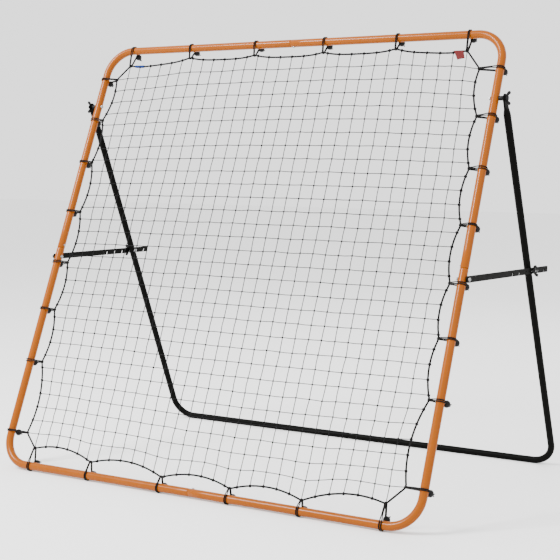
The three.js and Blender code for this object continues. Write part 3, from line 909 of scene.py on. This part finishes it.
def thread(build, centre, axis, start, length):
    """A screw thread that shows past a nut, tapered over its last steps, of which a turn has six."""
    steps, sides = 6, 24
    rings = int(length / THREAD_PITCH * steps)
    axis, first, second = axis_frame(axis)
    points = []
    for i in range(rings + 1):
        along = start + length * i / rings
        ring = []
        for j in range(sides):
            angle = 2 * math.pi * j / sides
            cycle = (along / THREAD_PITCH - j / sides) % 1
            end = min(1.0, (rings - i) / 5)
            r = (BOLT_R - THREAD_DEPTH * 2 * abs(cycle - 0.5)) * (0.8 + 0.2 * end)
            ring.append(centre + axis * along + spoke(first, second, angle) * r)
        points.append(ring)
    build.solid(points, lambda i, j: (j / sides, i * 0.01))


def hex_bolt(name, body, node, centre, axis, flats, shank_end, thread_length):
    """A hexagon headed bolt with a washer face. Its head ends at the centre, which is where it bears."""
    build = Builder()
    head = hex_profile(flats, -HEAD_HEIGHT - WASHER, HEAD_HEIGHT, 0.0008)
    lathe(build, head, centre, axis, 48, flats)
    washer_r = flats * 0.56
    bearing = [(BOLT_R / 2, -WASHER - 0.0002), (flats * 0.53, -WASHER - 0.0002), (washer_r, -0.0003)]
    lathe(build, bearing + [(washer_r, 0), (BOLT_R / 2, 0)], centre, axis, 32)
    plain = shank_end - thread_length
    lathe(build, [(BOLT_R, -0.0002), (BOLT_R, plain)], centre, axis, 24)
    thread(build, centre, axis, plain, thread_length)
    build.make(name, [ZINC], 30, body, "zinc", node)


def hex_nut(name, node, centre, axis):
    build = Builder()
    chamfer = 0.0006
    outside = hex_profile(BRACE_FLATS, 0, NUT_HEIGHT, 0.0034)
    bore = [(0.0031, NUT_HEIGHT - chamfer), (0.0031, chamfer)]
    hollow(build, outside + bore, centre, axis, 48, BRACE_FLATS)
    build.make(name, [ZINC], 30, "frame", "zinc", node)


def sleeve(name, node, centre, axis, height):
    """A moulded spacer with softened rims."""
    inner, outer, soft = SLEEVE_BORE, SLEEVE_R, SLEEVE_EDGE
    near = [(inner, soft), (inner + soft, 0), (outer - soft, 0)]
    near += [(outer - soft * 0.3, soft * 0.3), (outer, soft)]
    far = [(r, height - along) for r, along in near[::-1]]
    build = Builder()
    hollow(build, near + far, centre, axis, 40)
    build.make(name, [PLASTIC], 45, "frame", "black_plastic", node)


# A wing nut's hub, as (radius, height) round its section.
HUB = [(BORE_R, 0.0), (0.0069, 0.0), (0.0074, 0.0006), (0.0072, 0.004), (0.0062, 0.0074)]
HUB += [(0.0052, 0.0088), (0.0044, 0.0091), (BORE_R, 0.0088)]
# Its wing as (distance out from the axis, height, half depth, half thickness), from the hub to the tip.
WING = [
    (0.0050, 0.0042, 0.0034, 0.0028),
    (0.0090, 0.0050, 0.0037, 0.0027),
    (0.0128, 0.0070, 0.0045, 0.0028),
    (0.0156, 0.0099, 0.0051, 0.0032),
    (0.0170, 0.0127, 0.0041, 0.0027),
]
WING_SIDES = 20
WING_SQUARE = 0.7


def squared(value):
    """A sine or cosine pushed out, so that a circle turns into a rounded square."""
    return math.copysign(abs(value) ** WING_SQUARE, value)


def wing(centre, axis, up, hand):
    """The rings of one wing, the last one being its rounded tip."""
    side = axis.cross(up).normalized()
    rings = []
    for k, (reach, height, depth, thick) in enumerate(WING):
        ahead, behind = WING[min(k + 1, len(WING) - 1)], WING[max(k - 1, 0)]
        run = Vector((ahead[0] - behind[0], ahead[1] - behind[1])).normalized()
        across = Vector((-run.y, run.x))
        ring = []
        for angle in round_angles(WING_SIDES):
            a = squared(math.cos(angle)) * depth
            b = squared(math.sin(angle)) * thick
            outward = up * (hand * (reach + across.x * a))
            ring.append(centre + (outward + axis * (height + across.y * a) + side * b))
        rings.append(ring)
    tip_centre = sum(rings[-1], Vector()) / WING_SIDES
    tip_run = up * (hand * 0.0009) + axis * 0.0010
    rings.append([tip_centre + (p - tip_centre) * 0.72 + tip_run for p in rings[-1]])
    return rings


def wing_nut(name, body, centre, axis, up):
    """A moulded wing nut with its seat at the centre. Its body has its node's name."""
    build = Builder()
    hollow(build, HUB, centre, axis, 32)
    for hand in (-1, 1):
        build.solid(wing(centre, axis, up, hand), lambda i, j: (j / WING_SIDES, i * 0.2))
    build.make(name, [PLASTIC], 45, body, "black_plastic", body)


# A pan head's profile, as (radius, height over the tube), from its shank up to its recess.
PAN_HEAD = [(0.0002, -0.003), (0.0019, -0.003), (0.0019, -0.0002), (0.0039, -0.0004)]
PAN_HEAD += [(0.0040, 0.0004), (0.0037, 0.0012), (0.0029, 0.0019), (0.0018, 0.0023)]
PAN_HEAD += [(0.0011, 0.0024), (0.0007, 0.0013), (0.0001, 0.0012)]


def pan_screw(name, body, node, centre, outward, radius):
    """A pan head on the surface of a tube of this radius."""
    build = Builder()
    base = radius + GAP
    lathe(build, [(r, base + along) for r, along in PAN_HEAD], centre, outward, 28)
    build.make(f"seam_screw_{name}", [ZINC], 35, body, "zinc", node)


pan_screw("top", "frame", "frame_screw_top", on_frame(SEAM_SCREW, 0, SPAN), -UP, TUBE_R)
pan_screw("bottom", "frame", "frame_screw_bottom", on_frame(SEAM_SCREW, 0, 0), UP, TUBE_R)
pan_screw("rail", "stand", "stand_screw", on_stand(SEAM_SCREW, 0, LEG_LENGTH), -DOWN_LEG, STAND_R)

# How far each bolt shows past what it holds, and how much of it is threaded.
PIVOT_SHOWS, BRACE_SHOWS, ADJUSTER_SHOWS = 0.0105, 0.0055, 0.0100
LONG_THREAD, SHORT_THREAD = 0.012, 0.006
# The right adjuster's wing nut has been turned a little.
WINGS_UP = Vector((0, 0, 1))
WINGS_TURNED = Vector((0, -0.5, 0.87))


def side_fasteners(name, side):
    """One side's seam screw, pivot, brace pivot and adjuster."""
    out = ACROSS * side
    seam = on_frame(side * HALF_SPAN, 0, HALF_SPAN + SEAM_SCREW)
    pan_screw(name, "frame", f"frame_screw_{name}", seam, -out, TUBE_R)

    inner_face = HALF_SPAN - TUBE_R - GAP
    outer_face = HALF_SPAN + TUBE_R + GAP
    flat_face = LEG_X + FLAT_HALF + GAP
    head = on_frame(side * inner_face, 0, PIVOT_UP)
    shank = flat_face + PIVOT_SHOWS - inner_face
    node = f"pivot_bolt_{name}"
    hex_bolt(f"bolt_pivot_{name}", "frame", node, head, out, PIVOT_FLATS, shank, LONG_THREAD)
    seat = on_frame(side * outer_face, 0, PIVOT_UP)
    height = LEG_X - FLAT_HALF - GAP - outer_face
    sleeve(f"sleeve_{name}", f"pivot_spacer_{name}", seat, out, height)
    seat = on_frame(side * flat_face, 0, PIVOT_UP)
    wing_nut(f"wing_nut_upper_{name}", f"pivot_wing_nut_{name}", seat, out, WINGS_UP)

    brace_face = BRACE_START_X + BRACE_THICK + BRACE_PLAY
    head = on_frame(side * inner_face, 0, BRACE_UP)
    shank = brace_face + BRACE_SHOWS - inner_face
    node = f"brace_pivot_bolt_{name}"
    hex_bolt(f"bolt_brace_{name}", "frame", node, head, out, BRACE_FLATS, shank, SHORT_THREAD)
    seat = on_frame(side * brace_face, 0, BRACE_UP)
    hex_nut(f"nut_brace_{name}", f"brace_pivot_nut_{name}", seat, out)

    down_leg = (bolt - pivot).length
    nut_face = BRACE_BOLT_X + BRACE_THICK + BRACE_PLAY
    head_face = LEG_X - STAND_R - GAP
    head = on_stand(side * head_face, 0, down_leg)
    shank = nut_face + ADJUSTER_SHOWS - head_face
    node = f"adjuster_bolt_{name}"
    hex_bolt(f"bolt_adjuster_{name}", "stand", node, head, out, BRACE_FLATS, shank, LONG_THREAD)
    seat = on_stand(side * nut_face, 0, down_leg)
    wings = WINGS_TURNED if name == "right" else WINGS_UP
    wing_nut(f"wing_nut_lower_{name}", f"adjuster_wing_nut_{name}", seat, out, wings)


for name, side in (("left", -1), ("right", 1)):
    side_fasteners(name, side)

# ---- notched braces ----


def arc(x, y, radius, start, end, steps):
    angles = np.linspace(start, end, steps + 1)
    return [(x + radius * math.cos(a), y + radius * math.sin(a)) for a in angles]


def brace_outline():
    """The bar's outline with its six notches, as (distance back from its pivot, height)."""
    edge = -BRACE_HALF
    sin, cos = math.sin(NOTCH_LEAN), math.cos(NOTCH_LEAN)
    outline = arc(0, 0, BRACE_HALF, math.pi / 2, 3 * math.pi / 2, 20)
    for k in range(-3, 3):
        seat = BRACE_LENGTH + k * NOTCH_PITCH
        front, rear = (-edge + NOTCH_HALF * sin) / cos, (-edge - NOTCH_HALF * sin) / cos
        outline.append((seat - NOTCH_HALF * cos - front * sin, edge))
        outline += arc(seat, 0, NOTCH_HALF, math.pi - NOTCH_LEAN, -NOTCH_LEAN, 12)
        outline.append((seat + NOTCH_HALF * cos - rear * sin, edge))
    soft = 0.004
    tail = BRACE_LENGTH + BRACE_TAIL - soft
    outline += arc(tail, edge + soft, soft, -math.pi / 2, 0, 6)
    outline += arc(tail, -edge - soft, soft, 0, math.pi / 2, 6)
    return outline


def plate(loops, put):
    """A flat plate from its outline and holes. put(a, b, face) is a point on its near (0) or far (1) face."""
    points = [p for ring in loops for p in ring]
    triangles = tessellate_polygon([[Vector((a, b, 0)) for a, b in ring] for ring in loops])
    count = len(points)
    build = Builder()
    verts = [put(a, b, 0) for a, b in points] + [put(a, b, 1) for a, b in points]
    faces = [list(t) for t in triangles] + [[i + count for i in t[::-1]] for t in triangles]
    start = 0
    for ring in loops:
        for k in range(len(ring)):
            a, b = start + k, start + (k + 1) % len(ring)
            faces.append([a, b, b + count, a + count])
        start += len(ring)
    build.add(verts, faces)
    return build


BRACE_HOLE = 0.0036
BRACE_EDGE = 0.0004


def brace(name, side):
    """A notched bar, splayed outwards from its pivot, with its sheared edges eased."""
    sin, cos = math.sin(BRACE_SPLAY), math.cos(BRACE_SPLAY)

    def put(a, b, face):
        out = BRACE_START_X + face * BRACE_THICK * cos + a * sin
        back = a * cos - face * BRACE_THICK * sin
        return Vector((side * out, brace_pivot.y + back, brace_pivot.z + b))

    build = plate([brace_outline(), circle(BRACE_HOLE, 24)], put)
    obj = build.make(f"notched_bar_{name}", [BLACK], 30, f"brace_{name}", "black_coat", f"brace_{name}")
    edges = obj.modifiers.new("edges", "BEVEL")
    edges.width = BRACE_EDGE
    edges.segments = 2
    edges.limit_method = "ANGLE"
    edges.angle_limit = math.radians(38)
    edges.harden_normals = True


brace("left", -1)
brace("right", 1)

# ---- label and whipping ----


def rope_top(x):
    """The rope's height up the frame at a place along the top."""
    line = rope_lines["top"][::-1]
    return float(np.interp(x, line[:, 0], line[:, 1]))


# The label's top left, top right, bottom right and bottom left corners, as (across, up the frame).
LABEL_CORNERS = [(0.580, 1.422), (0.611, 1.422), (0.620, 1.395), (0.597, 1.391)]
LABEL_THICK = 0.0007
LABEL_BACK = -0.0030
# The label's size in centimetres, for its weave.
LABEL_WEAVE = 2.7


def label():
    """A small blank label hanging askew from the rope, curled a little."""
    build = Builder()
    rows, columns = 12, 12
    top_left, top_right, low_right, low_left = np.array(LABEL_CORNERS)
    for face in (-1, 1):
        points = []
        for r in range(rows + 1):
            t = r / rows
            row = []
            for c in range(columns + 1):
                s = c / columns
                high = top_left * (1 - s) + top_right * s
                low = low_left * (1 - s) + low_right * s
                x, up = high * (1 - t) + low * t
                curl = 0.0012 * math.sin(s * math.pi) * t + 0.0008 * t * t
                back = LABEL_BACK - curl + face * LABEL_THICK / 2
                row.append(on_frame(x, back, up))
            points.append(row)
        build.grid(points, lambda i, j: (j / columns * LABEL_WEAVE, i / rows * LABEL_WEAVE), wrap=False)
    obj = build.make("blank_red_label", [RED], 60, "frame", "red_tape", "net_tag")
    obj.modifiers.new("thickness", "SOLIDIFY").thickness = 0.0002


label()


def whipping():
    """A short binding of thin blue thread round the rope."""
    start, end = -0.620, -0.583
    turns, steps, thread_r = 22, 14, 0.00085
    path = []
    for k in range(turns * steps + 1):
        t = k / (turns * steps)
        x = start + (end - start) * t
        slope = (rope_top(x + MM) - rope_top(x - MM)) / (2 * MM)
        along = (ACROSS + UP * slope).normalized()
        across = along.cross(BACK)
        angle = 2 * math.pi * turns * t
        centre = on_frame(x, 0, rope_top(x))
        path.append(centre + spoke(across, BACK, angle) * (ROPE_R + thread_r * 0.7))
    build = Builder()
    sweep(build, path, lambda i, s: circle(thread_r, 7))
    build.make("blue_whipping", [BLUE], 80, "frame", "net_twine")


whipping()

# ---- floor, light and camera ----

FLOOR_HALF = 30.0
FLOOR_GREY = (0.93, 0.93, 0.93)
SKY_STRENGTH = 1.9
LOOK_AT = Vector((0, 0, 0.7))
# Each light's place, its width and height, and its power in watts.
LIGHTS = {
    "key": ((-2.6, -3.6, 4.4), (1.6, 1.6), 620),
    "fill": ((4.5, -2.0, 2.6), (3.0, 3.0), 30),
    "back": ((0.5, 4.5, 3.4), (3.0, 2.0), 60),
}
# The camera's place and its right, up and back, each as (across, back, up) in the tilted frame's directions.
CAMERA_AT = (2.0993, -3.09763, -0.26089)
CAMERA_AXES = [(0.86298, 0.46251, 0.20337), (-0.05012, -0.32216, 0.94536), (0.50275, -0.82601, -0.25484)]
CAMERA_LENS = 80.19
CAMERA_SENSOR = 36
CAMERA_SHIFT = (-0.0358, -0.0113)
CAMERA_FAR = 100


def lay_floor():
    material, tree, shader = node_material("pale_floor", FLOOR_GREY, 0.9)
    vary_color(tree, shader, object_noise(tree, 1.2, 2), FLOOR_GREY, [(0.3, 0.995), (0.7, 1)])
    corners = [(FLOOR_HALF * x, FLOOR_HALF * y, 0) for x, y in ((-1, -1), (1, -1), (1, 1), (-1, 1))]
    mesh = bpy.data.meshes.new("floor")
    mesh.from_pydata(corners, [], [(0, 1, 2, 3)])
    mesh.materials.append(material)
    add_to_scene("floor", mesh)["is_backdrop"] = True


def light_studio():
    world = bpy.data.worlds.new("studio")
    bpy.context.scene.world = world
    world.use_nodes = True
    background = world.node_tree.nodes["Background"]
    background.inputs["Color"].default_value = (1, 1, 1, 1)
    background.inputs["Strength"].default_value = SKY_STRENGTH
    for name, (location, (width, height), power) in LIGHTS.items():
        light = bpy.data.lights.new(name, "AREA")
        light.shape = "RECTANGLE"
        light.size, light.size_y = width, height
        light.energy = power
        obj = add_to_scene(name, light)
        obj.location = location
        obj.rotation_euler = (LOOK_AT - Vector(location)).to_track_quat("-Z", "Y").to_euler()


def place_camera():
    data = bpy.data.cameras.new("camera")
    data.sensor_width = CAMERA_SENSOR
    data.lens = CAMERA_LENS
    data.shift_x, data.shift_y = CAMERA_SHIFT
    data.clip_end = CAMERA_FAR
    camera = add_to_scene("camera", data)
    axes = [ACROSS * across + BACK * back + UP * up for across, back, up in CAMERA_AXES]
    camera.matrix_world = Matrix.Translation(on_frame(*CAMERA_AT)) @ Matrix(axes).transposed().to_4x4()
    bpy.context.scene.camera = camera


lay_floor()
light_studio()
place_camera()


def plain(box):
    return [[round(value, 6) for value in corner] for corner in box]


{"cad": plain(cad_box), "visual": plain(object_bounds())}
